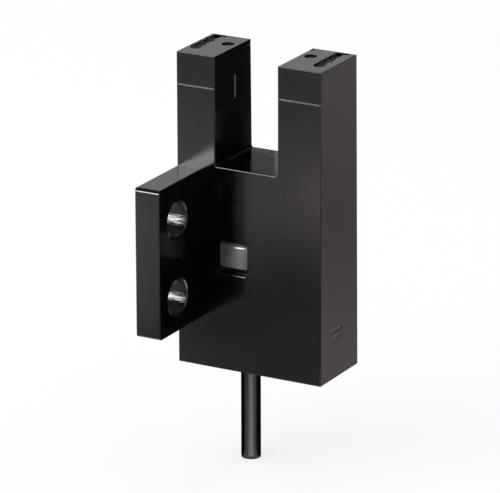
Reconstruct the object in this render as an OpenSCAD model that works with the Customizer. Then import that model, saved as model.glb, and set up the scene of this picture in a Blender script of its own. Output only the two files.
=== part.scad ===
// Fork sensor: a moulded U-slot photoelectric sensor with a side mounting flange and a bottom cable.
// X runs across the fork, Y runs from the front face to the back, Z is up.
// The origin is the centre of the two mounting holes, on the flange's outer face.

/* [Housing] */
// Width across both prongs
body_w = 13.7; // [12.5:0.1:16]
// Depth from the front face to the back
body_d = 6.2; // [5.9:0.1:7.5]
// Height from the underside to the prong tops
body_h = 27.4; // [26:0.1:32]
// How much deeper the housing is at the underside than at the prong tops
back_draft = 0.4; // [0:0.05:0.6]
// Thickness of the front, outer and bottom walls
wall = 0.8; // [0.7:0.05:1]
// Thickness of the roof of each prong
roof = 0.9; // [0.8:0.05:1.2]
// Rounding of the front's upright and lower edges
edge_r = 0.1; // [0.05:0.05:0.4]
// Rounding of the edges round the prong tops
top_edge_r = 0.04; // [0.03:0.01:0.2]
// Length of the latch mark on the right side
latch_len = 2; // [1.5:0.1:2.6]
// Height of the latch mark
latch_h = 0.5; // [0.3:0.05:0.8]
// Depth of the latch mark
latch_deep = 0.04; // [0.03:0.01:0.15]
// Latch mark's centre behind the front face
latch_back = 2.7; // [2:0.1:3]
// Latch mark's centre above the underside
latch_rise = 4.25; // [2:0.05:6]

/* [Fork] */
// Width of the left prong, which holds the emitter
prong_left_w = 3.65; // [3.6:0.05:4.2]
// Width of the right prong, which holds the receiver
prong_right_w = 4.1; // [3.8:0.05:4.6]
// Depth of the sensing slot below the prong tops
slot_depth = 9.5; // [8.5:0.1:11]
// Fillet where the slot floor meets the prongs
slot_fillet_r = 0.2; // [0.1:0.05:0.6]
// Rounded lead-in along the front edge of the slot
slot_lead_r = 0.1; // [0.05:0.05:0.5]
// Thickness of the prong walls that face the slot
inner_wall = 0.6; // [0.5:0.05:0.8]
// Width of each optical slit
slit_w = 0.55; // [0.3:0.05:0.8]
// Height of each optical slit
slit_h = 2.15; // [1.5:0.05:2.6]
// Top of each slit below the prong tops
slit_drop = 2.4; // [2:0.05:3]
// Centre of each slit in front of the rear cover
slit_back = 1.05; // [1.05:0.05:1.3]
// Optical axis line below the prong tops
mark_drop = 2.8; // [2:0.05:3.5]
// Height of the optical axis line, a notch with a sloping lower face
mark_h = 0.14; // [0.08:0.02:0.3]
// Depth of the optical axis line
mark_deep = 0.02; // [0.01:0.005:0.1]

/* [Prong tops] */
// Width of the tongue groove in each prong top
groove_w = 0.8; // [0.4:0.05:0.9]
// Depth of the tongue groove
groove_deep = 0.5; // [0.4:0.05:0.6]
// Middle of the grooves' round front end behind the front face
groove_front = 1.9; // [1.5:0.1:2.5]
// Centre of the left groove from the left side
groove_left = 0.7; // [0.6:0.05:0.9]
// Centre of the right groove from the right side
groove_right = 1.35; // [1.1:0.05:1.5]
// Diameter of the grooves' round front end
groove_end_d = 0.95; // [0.6:0.05:1]
// Round front end to the right of the groove's centre
groove_end_shift = 0.1; // [0:0.05:0.2]
// Reach of the hook at the back of each groove, to the right
groove_hook = 0.4; // [0.2:0.05:0.5]
// Width of the hook
groove_hook_w = 0.35; // [0.3:0.05:0.4]
// Rim left behind the grooves
groove_rim = 0.2; // [0.15:0.05:0.3]
// Diameter of the round dimple in each prong top
dimple_d = 1.1; // [0.9:0.05:1.2]
// Depth of the round dimple
dimple_deep = 0.3; // [0.2:0.01:0.5]
// Diameter of the pip in the middle of each dimple
pip_d = 0.45; // [0.3:0.05:0.6]
// Pip below the prong top
pip_drop = 0.1; // [0:0.01:0.15]
// Dimple centre from the prong's slot side
dimple_in = 0.95; // [0.8:0.05:1.5]
// Dimple centre behind the front face
dimple_back = 4; // [3:0.1:4.4]

/* [Mounting flange] */
// Rounding of the flange's front edges, above and below
flange_nose_r = 0.34; // [0.1:0.02:0.5]
// Rounding of the flange's other edges
flange_edge_r = 0.08; // [0.06:0.02:0.3]
// Thickness of the flange
flange_t = 2.3; // [1.8:0.05:3]
// Reach of the flange in front of the front face
flange_reach = 7.05; // [6:0.05:9]
// Height of the flange
flange_h = 13.1; // [12:0.1:14]
// Underside of the flange above the underside of the housing
flange_rise = 4.35; // [3:0.05:5]
// Diameter of the mounting holes, clearance for M3
hole_d = 3.2; // [2.7:0.1:3.6]
// Distance between the mounting holes
hole_pitch = 6.8; // [6:0.1:7.5]
// Hole centres behind the flange's front edge
hole_front = 3; // [2.5:0.05:3.5]
// Lower hole above the flange's underside
hole_rise = 2.95; // [2.5:0.05:3.2]
// Chamfer at the inner mouths of the mounting holes
hole_chamfer = 0.12; // [0.05:0.01:0.3]
// Chamfer at the outer mouths, which clears the burr round a tapped hole
hole_relief = 0.45; // [0.1:0.05:0.6]

/* [Rear cover] */
// Thickness of the rear cover
cover_t = 1.5; // [1.2:0.05:1.6]
// Rim of the housing left round the cover
cover_rim = 0.45; // [0.3:0.05:0.6]
// Width of the ribs that hold the board
rib_w = 0.6; // [0.4:0.1:1]

/* [Indicator] */
// Width of the indicator window
window_w = 2.7; // [2:0.1:3]
// Height of the indicator window
window_h = 2.3; // [1.6:0.1:2.4]
// Left edge of the window from the left side
window_left = 3.95; // [3.7:0.05:4.4]
// Lower edge of the window above the underside
window_rise = 9.1; // [8.6:0.05:9.4]
// Depth of the recess round the window
recess_deep = 0.3; // [0.15:0.05:0.5]
// Recess beside and above the window
recess_side = 0.05; // [0.05:0.05:0.4]
// Recess below the window
recess_low = 0.4; // [0.2:0.05:0.7]
// Rounding of the recess's lower lip
lip_r = 0.25; // [0.1:0.05:0.3]
// Collar that stops the light guide inside the front wall
guide_collar = 0.35; // [0.2:0.05:0.5]
// Thickness of the light guide's collar
guide_collar_t = 0.5; // [0.3:0.05:0.8]

/* [Circuit board] */
// Thickness of the circuit board
board_t = 0.8; // [0.6:0.1:1]
// Space between the board's edge and the side walls
board_side_gap = 0.4; // [0.2:0.05:0.6]
// Space between the board's top edge and the slot floor's wall
board_top_gap = 0.3; // [0.2:0.05:0.6]
// Lower edge of the board above the underside
board_rise = 4.5; // [4.4:0.05:5]
// Diameter of the board's locating pegs
peg_d = 0.8; // [0.6:0.05:1]
// Diameter of the posts that carry the board
post_d = 1.4; // [1.2:0.1:1.8]

/* [Circuit parts] */
// Side of the amplifier's square body
amplifier_side = 3; // [2.4:0.1:3.2]
// Amplifier's centre from the board's right edge
amplifier_in = 2.9; // [2.8:0.05:3.1]
// Amplifier's centre above the middle of the window
amplifier_lift = 0.3; // [0:0.05:0.5]
// Width of the output transistor's body
transistor_w = 1.3; // [1.1:0.05:1.5]
// Height of the output transistor's body
transistor_h = 2.8; // [2.2:0.1:3]
// Output transistor's centre from the board's right edge
transistor_in = 3.3; // [3.2:0.05:3.5]
// Output transistor's centre above the board's lower edge
transistor_rise = 2.2; // [2:0.05:2.4]
// Side of the protection diode's body
diode_side = 1.2; // [1:0.05:1.4]
// Protection diode's centre from the board's left edge
diode_in = 1.3; // [1.3:0.05:1.4]
// Protection diode's centre above the board's lower edge
diode_rise = 3.4; // [3.2:0.05:3.8]
// Thickness of the moulded packages
package_t = 0.9; // [0.7:0.05:1.1]
// Gap between the packages and the board
package_stand = 0.1; // [0.05:0.01:0.2]
// Length of a package's feet
foot_len = 0.7; // [0.5:0.05:0.75]
// Width of a package's feet
foot_w = 0.35; // [0.25:0.05:0.45]
// Thickness of a package's feet
foot_t = 0.2; // [0.15:0.01:0.25]
// Distance between the amplifier's feet
amplifier_foot_pitch = 0.65; // [0.6:0.05:0.7]
// Distance between the output transistor's feet
transistor_foot_pitch = 1.9; // [1.2:0.05:2]
// Length of the chip resistors, capacitors and the indicator lamp
smd_len = 1.6; // [1.2:0.1:1.7]
// Width of the chip resistors, capacitors and the indicator lamp
smd_w = 0.8; // [0.6:0.05:0.9]
// Distance between the chip parts in their row
smd_pitch = 1.15; // [1.1:0.05:1.2]
// Top of the row below the board's top edge
smd_drop = 0.4; // [0.2:0.05:0.5]
// Thickness of the chip resistors
resistor_t = 0.45; // [0.35:0.05:0.6]
// Thickness of the chip capacitors
capacitor_t = 0.8; // [0.6:0.05:1]
// Thickness of the indicator lamp
lamp_t = 0.6; // [0.4:0.05:0.7]
// Gap between the indicator lamp and the light guide
lamp_gap = 0.3; // [0.1:0.05:0.5]
// Left peg's centre above the board's lower edge
peg_left_rise = 6.6; // [6.2:0.1:7]
// Right peg's centre above the board's lower edge
peg_right_rise = 2.2; // [1.4:0.1:2.6]
// Both pegs' centres from the board's side edges
peg_in = 1; // [0.9:0.05:1]

/* [Emitter and receiver] */
// Thickness of the filter windows behind the slits
filter_t = 0.4; // [0.3:0.05:0.6]
// Margin of the filter windows round the slits
filter_margin = 0.7; // [0.5:0.05:0.8]
// Thickness of the emitter and receiver bodies across the prong
chip_t = 1.4; // [1.1:0.05:1.5]
// Width of the emitter and receiver bodies
chip_w = 2; // [1.6:0.1:2.1]
// Height of the emitter and receiver bodies
chip_h = 3.2; // [2.6:0.1:3.8]
// Height of the lens on each body
lens_h = 0.4; // [0.2:0.05:0.45]
// Radius of the lens
lens_r = 0.9; // [0.7:0.05:1]
// Width of the lead strips
lead_w = 0.4; // [0.3:0.05:0.5]
// Thickness of the lead strips
lead_t = 0.2; // [0.15:0.05:0.3]
// Length of each lead that lies on the board
lead_foot = 1.2; // [0.8:0.1:1.6]

/* [Cable] */
// Diameter of the cable jacket
cable_d = 1.7; // [1.6:0.05:2]
// Length of cable below the housing
cable_len = 8.7; // [6:0.05:20]
// Cable centre from the left side
cable_left = 5.3; // [4.8:0.05:6.5]
// Jacket inside the housing, above the underside
jacket_in = 2.2; // [2:0.1:2.4]
// Wall of the jacket
jacket_wall = 0.23; // [0.2:0.01:0.25]
// Diameter of each insulated core
core_d = 0.42; // [0.36:0.01:0.44]
// Core centres from the cable's axis, across and in depth
core_spread = 0.25; // [0.24:0.01:0.26]
// Diameter of each conductor
conductor_d = 0.22; // [0.14:0.01:0.26]
// Distance between the solder pads of the cores
pad_pitch = 1.1; // [1:0.05:1.3]
// Bare length of each conductor on its pad
strip_len = 1.2; // [0.8:0.1:1.6]
// Outer diameter of the crimp ferrule
ferrule_d = 2.4; // [2.3:0.1:2.8]
// Length of the crimp ferrule
ferrule_h = 1; // [0.8:0.1:1.1]
// Straight run of the cores above the jacket
core_rise = 0.15; // [0.1:0.05:0.3]
// Straight run of the cores below the board
core_run = 0.05; // [0.05:0.05:0.1]
// Insulated end of each core on the board
core_lap = 0.5; // [0.3:0.05:0.8]
// Radius of the solder round each conductor
bead_r = 0.3; // [0.25:0.01:0.4]
// Length of the solder on each conductor
bead_len = 0.8; // [0.5:0.05:0.9]
// Thickness of the solder over each lead
cap_t = 0.12; // [0.05:0.01:0.2]
// Length of the solder at the end of each lead
cap_len = 0.3; // [0.2:0.05:0.5]

/* [Hidden] */
$fn = 48;

// Clearance between pieces that are fitted into each other
fit = 0.05;
// Overshoot of cuts past the faces that they open
over = 1;

// Main planes of the housing
front_y = flange_reach - hole_front;
back_y = front_y + body_d;
bottom_z = -(flange_rise + hole_rise + hole_pitch / 2);
top_z = bottom_z + body_h;
floor_z = top_z - slot_depth;
slot_left_x = prong_left_w;
slot_right_x = body_w - prong_right_w;
seam_y = back_y - cover_t;
cavity_y = front_y + wall;
cavity_top_z = floor_z - wall;

// Optical parts share one height and one depth
slit_y = seam_y - slit_back;
slit_top_z = top_z - slit_drop;
slit_z = slit_top_z - slit_h / 2;
filter_w = slit_w + 2 * filter_margin;
filter_h = slit_h + 2 * filter_margin;
chip_bottom_z = slit_z - chip_h / 2;

// The board's middle plane passes through the slits, so the leads straddle its top edge
board_front_y = slit_y - board_t / 2;
board_back_y = slit_y + board_t / 2;
board_left_x = wall + board_side_gap;
board_right_x = body_w - wall - board_side_gap;
board_bottom_z = bottom_z + board_rise;
board_top_z = cavity_top_z - board_top_gap;
lead_end_z = board_top_z - lead_foot;
peg_left = [board_left_x + peg_in, board_bottom_z + peg_left_rise];
peg_right = [board_right_x - peg_in, board_bottom_z + peg_right_rise];

// Indicator
window_x = window_left + window_w / 2;
window_z = bottom_z + window_rise + window_h / 2;
window_corner_r = 0.2;
guide_front_y = front_y + recess_deep * 0.35;
guide_back_y = board_front_y - lamp_t - lamp_gap;

// Cable
cable_y = front_y + body_d / 2;
cable_end_z = bottom_z - cable_len;
jacket_top_z = bottom_z + jacket_in;
fan_start_z = jacket_top_z + core_rise;
fan_end_z = board_bottom_z - core_run;
core_end_z = board_bottom_z + core_lap;
strip_end_z = core_end_z + strip_len;
pad_y = board_front_y - core_d / 2 - fit;
wire_sides = 8;
bend_steps = 4;

// Start of each core about the cable's axis, and its place in the row of pads
CORES = [
  ["brown", [-1, -1], -1.5, "#5a3420"],
  ["pink", [-1, 1], -0.5, "#c98a92"],
  ["black", [1, 1], 0.5, "#1c1c1e"],
  ["blue", [1, -1], 1.5, "#26457f"]
];

// Rectangle with its lower left corner at the origin and round corners, of another radius along the top
module round_rect(w, h, r, top_r = undef) {
  t = is_undef(top_r) ? r : top_r;
  translate([r, 0]) square([w - 2 * r, 2 * r]);
  translate([0, r]) square([w, h - r - t]);
  translate([t, h - 2 * t]) square([w - 2 * t, 2 * t]);
  for (x = [r, w - r])
    translate([x, r]) circle(r);
  for (x = [t, w - t])
    translate([x, h - t]) circle(t);
}

// What a quarter round takes off a square corner at the origin, for a solid in the first quadrant
module corner_waste(r) {
  difference() {
    translate([-over, -over]) square(r + over);
    translate([r, r]) circle(r);
  }
}

// Block from one corner to the other
module block(low, high) {
  translate(low) cube(high - low);
}

// Extrusions of outlines drawn in the front view (X, Z) and in the side view (Y, Z)
module extrude_back(y, depth) {
  translate([0, y + depth, 0]) rotate([90, 0, 0]) linear_extrude(depth) children();
}

module extrude_right(x, width) {
  translate([x, 0, 0]) rotate([90, 0, 90]) linear_extrude(width) children();
}

// Outline of the slot in the front view, open at the top
module slot_outline() {
  w = slot_right_x - slot_left_x;
  translate([slot_left_x, floor_z]) {
    round_rect(w, slot_depth, slot_fillet_r);
    translate([0, slot_depth - 2 * slot_fillet_r]) square([w, 2 * slot_fillet_r + over]);
  }
}

// Outline of the whole fork in the front view
module fork_outline() {
  difference() {
    translate([0, bottom_z]) round_rect(body_w, body_h, edge_r, top_edge_r);
    slot_outline();
    translate([slot_left_x, top_z]) rotate(180) corner_waste(top_edge_r);
    translate([slot_right_x, top_z]) rotate(270) corner_waste(top_edge_r);
  }
}

// Outline of the housing in the side view: the back leans out towards the underside
module side_outline() {
  difference() {
    polygon([[front_y, bottom_z], [back_y + back_draft, bottom_z], [back_y, top_z], [front_y, top_z]]);
    translate([front_y, bottom_z]) corner_waste(edge_r);
    translate([front_y, top_z]) rotate(270) corner_waste(top_edge_r);
  }
}

// Outline of the housing from above
module plan_outline() {
  translate([0, front_y]) difference() {
    square([body_w, body_d + back_draft]);
    corner_waste(edge_r);
    translate([body_w, 0]) rotate(90) corner_waste(edge_r);
  }
}

// Outer form of the housing: its three outlines, crossed, round every front edge
module fork_block() {
  intersection() {
    extrude_back(front_y, body_d + back_draft) fork_outline();
    extrude_right(0, body_w) side_outline();
    translate([0, 0, bottom_z]) linear_extrude(body_h) plan_outline();
  }
}

// Rounded lead-in that runs down one prong, along the slot floor and up the other prong
module slot_lead_in() {
  rise = slot_depth - slot_fillet_r;
  span = slot_right_x - slot_left_x - 2 * slot_fillet_r;
  translate([slot_left_x, front_y, floor_z + slot_fillet_r])
    linear_extrude(rise + over) rotate(90) corner_waste(slot_lead_r);
  translate([slot_right_x, front_y, floor_z + slot_fillet_r])
    linear_extrude(rise + over) corner_waste(slot_lead_r);
  extrude_right(slot_left_x + slot_fillet_r, span)
    translate([front_y, floor_z]) rotate(270) corner_waste(slot_lead_r);
  for (corner = [[slot_left_x + slot_fillet_r, 180], [slot_right_x - slot_fillet_r, 270]])
    translate([corner[0], front_y, floor_z + slot_fillet_r])
      rotate([90, 0, 0]) rotate(corner[1]) rotate_extrude(angle = 90)
        intersection() {
          translate([slot_fillet_r, 0]) mirror([0, 1]) corner_waste(slot_lead_r);
          translate([0, -over]) square([slot_fillet_r + slot_lead_r, 2 * over]);
        }
}

// Mounting flange, flush with the left side and rooted in the front wall
module flange_block() {
  z = bottom_z + flange_rise;
  y = front_y - flange_reach;
  d = flange_reach + wall;
  intersection() {
    extrude_right(0, flange_t) translate([y, z]) round_rect(d, flange_h, flange_nose_r);
    extrude_back(y, d) translate([0, z]) round_rect(flange_t, flange_h, flange_edge_r);
    translate([0, y, z]) linear_extrude(flange_h) round_rect(flange_t, d, flange_edge_r);
  }
}

module flange_holes() {
  for (z = [-hole_pitch / 2, hole_pitch / 2])
    translate([0, 0, z]) rotate([0, 90, 0]) {
      translate([0, 0, -over]) cylinder(d = hole_d, h = flange_t + 2 * over);
      cylinder(d1 = hole_d + 2 * hole_relief, d2 = hole_d, h = hole_relief);
      translate([0, 0, flange_t - hole_chamfer])
        cylinder(d1 = hole_d, d2 = hole_d + 2 * hole_chamfer, h = hole_chamfer);
    }
}

// Hollow behind the front wall, open to the back: the body and both prongs
module cavity() {
  block([wall, cavity_y, bottom_z + wall], [body_w - wall, back_y + over, cavity_top_z]);
  block([wall, cavity_y, bottom_z + wall], [slot_left_x - inner_wall, back_y + over, top_z - roof]);
  block([slot_right_x + inner_wall, cavity_y, bottom_z + wall],
        [body_w - wall, back_y + over, top_z - roof]);
}

// Seat of the rear cover: inside the rim, and right through to the slot
module cover_seat() {
  w = body_w - 2 * cover_rim;
  h = body_h - 2 * cover_rim;
  translate([cover_rim, bottom_z + cover_rim]) round_rect(w, h, edge_r);
}

module posts() {
  for (p = [peg_left, peg_right])
    translate([p[0], cavity_y - wall / 2, p[1]]) rotate([-90, 0, 0]) {
      cylinder(d = post_d, h = board_front_y - cavity_y + wall / 2);
      cylinder(d = peg_d, h = board_back_y - cavity_y + wall / 2);
    }
}

module slit(x0, x1) {
  block([x0, slit_y - slit_w / 2, slit_top_z - slit_h], [x1, slit_y + slit_w / 2, slit_top_z]);
}

// Window opening and its recess, with a rounded lower lip
module window_opening() {
  w = window_w + 2 * recess_side;
  h = window_h + recess_side + recess_low;
  z = window_z - window_h / 2 - recess_low;
  extrude_back(front_y - over, wall + 2 * over)
    translate([window_x - window_w / 2, window_z - window_h / 2])
      round_rect(window_w, window_h, window_corner_r);
  extrude_back(front_y - over, recess_deep + over)
    translate([window_x - w / 2, z]) round_rect(w, h, window_corner_r);
  extrude_right(window_x - w / 2 + window_corner_r, w - 2 * window_corner_r)
    translate([front_y, z]) rotate(270) corner_waste(lip_r);
}

// Grooves in the prong tops: a round front end, a straight run and a hook along the back edge
module top_grooves() {
  start_y = front_y + groove_front;
  end_y = back_y - groove_rim;
  hook_x = groove_w / 2 + groove_hook;
  for (x = [groove_left, body_w - groove_right])
    translate([x, 0, top_z - groove_deep]) linear_extrude(groove_deep + over) {
      translate([groove_end_shift, start_y]) circle(d = groove_end_d);
      translate([-groove_w / 2, start_y]) square([groove_w, end_y - start_y]);
      translate([0, end_y - groove_hook_w]) square([hook_x, groove_hook_w]);
    }
}

// Round dimples with a pip in the middle, where the moulding was filled
module top_dimples() {
  for (x = [slot_left_x - dimple_in, slot_right_x + dimple_in])
    translate([x, front_y + dimple_back, top_z - dimple_deep]) difference() {
      cylinder(d = dimple_d, h = dimple_deep + over);
      translate([0, 0, -over]) cylinder(d = pip_d, h = dimple_deep - pip_drop + over);
    }
}

// Fine notches that mark the optical axis across both prong fronts
module axis_marks() {
  z = top_z - mark_drop;
  for (x = [[0, slot_left_x - slot_lead_r], [slot_right_x + slot_lead_r, body_w]])
    extrude_right(x[0] - (x[0] > 0 ? 0 : over), x[1] - x[0] + over)
      polygon([[front_y - mark_deep, z - 1.5 * mark_h], [front_y + mark_deep, z + mark_h / 2],
               [front_y - mark_deep, z + mark_h / 2]]);
}

// Shallow mark of the latch on the right side
module latch_mark() {
  hollow_r = (latch_h * latch_h / 4 + latch_deep * latch_deep) / (2 * latch_deep);
  translate([body_w + hollow_r - latch_deep, front_y + latch_back - latch_len / 2, bottom_z + latch_rise])
    rotate([-90, 0, 0]) cylinder(r = hollow_r, h = latch_len);
}

module case() {
  color("#1a1919") difference() {
    union() {
      difference() {
        union() {
          fork_block();
          flange_block();
        }
        cavity();
      }
      posts();
    }
    slot_lead_in();
    flange_holes();
    extrude_back(seam_y, cover_t + over) cover_seat();
    slit(slot_left_x - inner_wall - over, slot_left_x + over);
    slit(slot_right_x - over, slot_right_x + inner_wall + over);
    window_opening();
    top_grooves();
    top_dimples();
    axis_marks();
    translate([cable_left, cable_y, bottom_z - over]) cylinder(d = cable_d + 2 * fit, h = wall + 2 * over);
    latch_mark();
  }
}

// Back plate of the housing, with ribs that press the board on its posts
// and tongues that slide along the grooves in the prong tops
module rear_cover() {
  rib_low_z = board_bottom_z + 1.5;
  rib_high_z = board_top_z - lead_foot - 1.5;
  tongue_t = groove_deep * 0.4;
  tongue_w = groove_w - 2 * fit;
  color("#201f1f") {
    intersection() {
      extrude_back(seam_y, cover_t + back_draft) difference() {
        translate([cover_rim + fit, bottom_z + cover_rim + fit])
          round_rect(body_w - 2 * (cover_rim + fit), body_h - 2 * (cover_rim + fit), edge_r);
        slot_outline();
      }
      extrude_right(0, body_w) side_outline();
    }
    for (x = [body_w * 0.34, body_w * 0.66])
      block([x - rib_w / 2, board_back_y, rib_low_z], [x + rib_w / 2, seam_y, rib_high_z]);
    for (x = [groove_left, body_w - groove_right])
      block([x - tongue_w / 2, front_y + groove_front, top_z - groove_deep],
            [x + tongue_w / 2, back_y - groove_rim - fit, top_z - groove_deep + tongue_t]);
  }
}

// Clear light guide: its nose fills the opening and its collar stops on the front wall
module indicator_window() {
  nose_w = window_w - 2 * fit;
  nose_h = window_h - 2 * fit;
  color("#8c8f90") {
    extrude_back(guide_front_y, guide_back_y - guide_front_y)
      translate([window_x - nose_w / 2, window_z - nose_h / 2])
        round_rect(nose_w, nose_h, window_corner_r - fit);
    extrude_back(cavity_y, guide_collar_t)
      translate([window_x - nose_w / 2 - guide_collar, window_z - nose_h / 2 - guide_collar])
        round_rect(nose_w + 2 * guide_collar, nose_h + 2 * guide_collar, window_corner_r);
  }
}

// Filter plate behind a slit, with a raised land that stands in the slit
// side is 1 where the slot lies towards +X, and -1 where it lies towards -X
module filter_window(wall_x, side) {
  land = inner_wall * 0.75;
  translate([wall_x, slit_y, slit_z]) mirror([side > 0 ? 0 : 1, 0, 0]) {
    block([-filter_t, -filter_w / 2, -filter_h / 2], [0, filter_w / 2, filter_h / 2]);
    block([-filter_t / 2, -slit_w / 2 + fit, -slit_h / 2 + fit], [land, slit_w / 2 - fit, slit_h / 2 - fit]);
  }
}

module emitter_window() {
  color("#2a1216") filter_window(slot_left_x - inner_wall, 1);
}

module receiver_window() {
  color("#2a1216") filter_window(slot_right_x + inner_wall, -1);
}

// Moulded optical chip: a block with a round lens that looks at the slot
module optical_chip(face_x, side) {
  sink = lens_r - lens_h;
  translate([face_x, slit_y, slit_z]) mirror([side > 0 ? 0 : 1, 0, 0]) {
    block([-chip_t, -chip_w / 2, -chip_h / 2], [0, chip_w / 2, chip_h / 2]);
    intersection() {
      translate([-sink, 0, 0]) sphere(lens_r);
      block([-chip_t / 2, -lens_r, -lens_r], [lens_h, lens_r, lens_r]);
    }
  }
}

emitter_face_x = slot_left_x - inner_wall - filter_t - lens_h - fit;
receiver_face_x = slot_right_x + inner_wall + filter_t + lens_h + fit;
emitter_lead_x = emitter_face_x - chip_t / 2;
receiver_lead_x = receiver_face_x + chip_t / 2;

module emitter_led() {
  color("#5b6a86") optical_chip(emitter_face_x, 1);
}

module receiver_ic() {
  color("#19191b") optical_chip(receiver_face_x, -1);
}

// Lead strip from the underside of a chip to the board, on its front or on its back
module lead_strip(x, on_front) {
  y = on_front ? board_front_y - lead_t : board_back_y;
  block([x - lead_w / 2, y, lead_end_z], [x + lead_w / 2, y + lead_t, chip_bottom_z]);
}

module emitter_leads() {
  color("#b9bcc0") {
    lead_strip(emitter_lead_x, true);
    lead_strip(emitter_lead_x, false);
  }
}

module receiver_leads() {
  color("#b9bcc0") {
    lead_strip(receiver_lead_x - lead_w, true);
    lead_strip(receiver_lead_x + lead_w, true);
    lead_strip(receiver_lead_x, false);
  }
}

module circuit_board() {
  color("#1f5a38") difference() {
    block([board_left_x, board_front_y, board_bottom_z], [board_right_x, board_back_y, board_top_z]);
    for (p = [peg_left, peg_right])
      translate([p[0], board_front_y - over, p[1]]) rotate([-90, 0, 0])
        cylinder(d = peg_d + 2 * fit, h = board_t + 2 * over);
  }
}

// Package on the front of the board, with feet along its left and right sides
module package(x, z, w, h, feet_left, feet_right, foot_pitch) {
  face_y = board_front_y - package_stand;
  block([x - w / 2, face_y - package_t, z - h / 2], [x + w / 2, face_y, z + h / 2]);
  for (side = [[-1, feet_left], [1, feet_right]])
    for (i = [0:1:side[1] - 1])
      translate([x + side[0] * w / 2, board_front_y, z + (i - (side[1] - 1) / 2) * foot_pitch])
        mirror([side[0] > 0 ? 0 : 1, 0, 0]) {
          block([-foot_t, -foot_t, -foot_w / 2], [foot_len, 0, foot_w / 2]);
          block([-foot_t, -package_stand - package_t / 2, -foot_w / 2], [foot_t, 0, foot_w / 2]);
        }
}

module amplifier_ic() {
  color("#18181a")
    package(board_right_x - amplifier_in, window_z + amplifier_lift, amplifier_side, amplifier_side,
            4, 4, amplifier_foot_pitch);
}

module output_transistor() {
  color("#18181a")
    package(board_right_x - transistor_in, board_bottom_z + transistor_rise, transistor_w, transistor_h,
            1, 2, transistor_foot_pitch);
}

module protection_diode() {
  color("#18181a")
    package(board_left_x + diode_in, board_bottom_z + diode_rise, diode_side, diode_side, 1, 1, 0);
}

// Chip component that lies flat on the front of the board
module chip_part(x, z, w, h, t) {
  block([x - w / 2, board_front_y - t, z - h / 2], [x + w / 2, board_front_y, z + h / 2]);
}

// Places in the row of chip parts along the board's top edge, from the left
ROW = [for (i = [0:5]) (board_left_x + board_right_x) / 2 + (i - 2.5) * smd_pitch];
row_z = board_top_z - smd_drop - smd_len / 2;

module resistors() {
  color("#232326")
    for (i = [0, 1, 3, 4])
      chip_part(ROW[i], row_z, smd_w, smd_len, resistor_t);
}

module capacitors() {
  color("#a98a63")
    for (i = [2, 5])
      chip_part(ROW[i], row_z, smd_w, smd_len, capacitor_t);
}

module indicator_led() {
  color("#d8d2c0") chip_part(window_x, window_z, smd_len, smd_w, lamp_t);
}

module ring(outer, inner) {
  difference() {
    circle(d = outer);
    circle(d = inner);
  }
}

module cable_ferrule() {
  color("#b08d4c") translate([cable_left, cable_y, bottom_z + wall])
    linear_extrude(ferrule_h) ring(ferrule_d, cable_d);
}

module cable_jacket() {
  color("#151515") translate([cable_left, cable_y, cable_end_z])
    linear_extrude(jacket_top_z - cable_end_z) ring(cable_d, cable_d - 2 * jacket_wall);
}

// Rings along a wire that rises straight, jogs sideways by two equal bends and rises straight again.
// Each ring is its distance along the jog, its height and its tilt.
function wire_rings(jog, bend, bend_r, end_z) = concat(
  [[0, cable_end_z, 0]],
  [for (k = [0:bend_steps]) let (a = bend * k / bend_steps)
    [bend_r * (1 - cos(a)), fan_start_z + bend_r * sin(a), a]],
  [for (k = [bend_steps - 1:-1:0]) let (a = bend * k / bend_steps)
    [jog - bend_r * (1 - cos(a)), fan_end_z - bend_r * sin(a), a]],
  [[jog, end_z, 0]]
);

// Corners of one ring of the wire, in the plane square to its run
function ring_corners(ring, r) = [
  for (j = [0:wire_sides - 1]) let (a = 360 * (j + 0.5) / wire_sides)
    [ring[0] + r * cos(a) * cos(ring[2]), r * sin(a), ring[1] - r * cos(a) * sin(ring[2])]
];

// Closed tube through the rings; with no bore it is solid
module swept_wire(rings, outer_r, bore_r) {
  n = wire_sides;
  last = len(rings) - 1;
  skin = [for (ring = rings) each ring_corners(ring, outer_r)];
  bore = bore_r > 0 ? [for (ring = rings) each ring_corners(ring, bore_r)] : [];
  m = len(skin);
  skin_faces = [for (i = [0:last - 1], j = [0:n - 1])
    [i * n + j, (i + 1) * n + j, (i + 1) * n + (j + 1) % n, i * n + (j + 1) % n]];
  bore_faces = bore_r > 0 ? [for (i = [0:last - 1], j = [0:n - 1])
    [m + i * n + j, m + i * n + (j + 1) % n, m + (i + 1) * n + (j + 1) % n, m + (i + 1) * n + j]] : [];
  ends = bore_r > 0
    ? [for (j = [0:n - 1]) each [
        [j, (j + 1) % n, m + (j + 1) % n, m + j],
        [last * n + j, m + last * n + j, m + last * n + (j + 1) % n, last * n + (j + 1) % n]]]
    : [[for (j = [0:n - 1]) j], [for (j = [n - 1:-1:0]) last * n + j]];
  polyhedron(concat(skin, bore), concat(skin_faces, bore_faces, ends));
}

// One wire of the cable, from its cut end to its pad on the board
module cable_wire(core, end_z, outer_r, bore_r = 0) {
  from = [cable_left + core[1][0] * core_spread, cable_y + core[1][1] * core_spread];
  to = [cable_left + core[2] * pad_pitch, pad_y];
  jog = norm(to - from);
  rise = fan_end_z - fan_start_z;
  bend = 2 * atan(jog / rise);
  bend_r = rise / (2 * sin(bend));
  translate([from[0], from[1], 0]) rotate(atan2(to[1] - from[1], to[0] - from[0]))
    swept_wire(wire_rings(jog, bend, bend_r, end_z), outer_r, bore_r);
}

module core(index) {
  color(CORES[index][3]) cable_wire(CORES[index], core_end_z, core_d / 2, conductor_d / 2);
}

module conductors() {
  color("#c07a4a")
    for (core = CORES)
      cable_wire(core, strip_end_z, conductor_d / 2);
}

// Solder over the end of a lead strip, on the board's face at y
module solder_cap(x, y, way) {
  translate([x, y, lead_end_z]) mirror([0, way > 0 ? 0 : 1, 0])
    block([-lead_w / 2, 0, -cap_len], [lead_w / 2, lead_t + cap_t, 0]);
}

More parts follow.
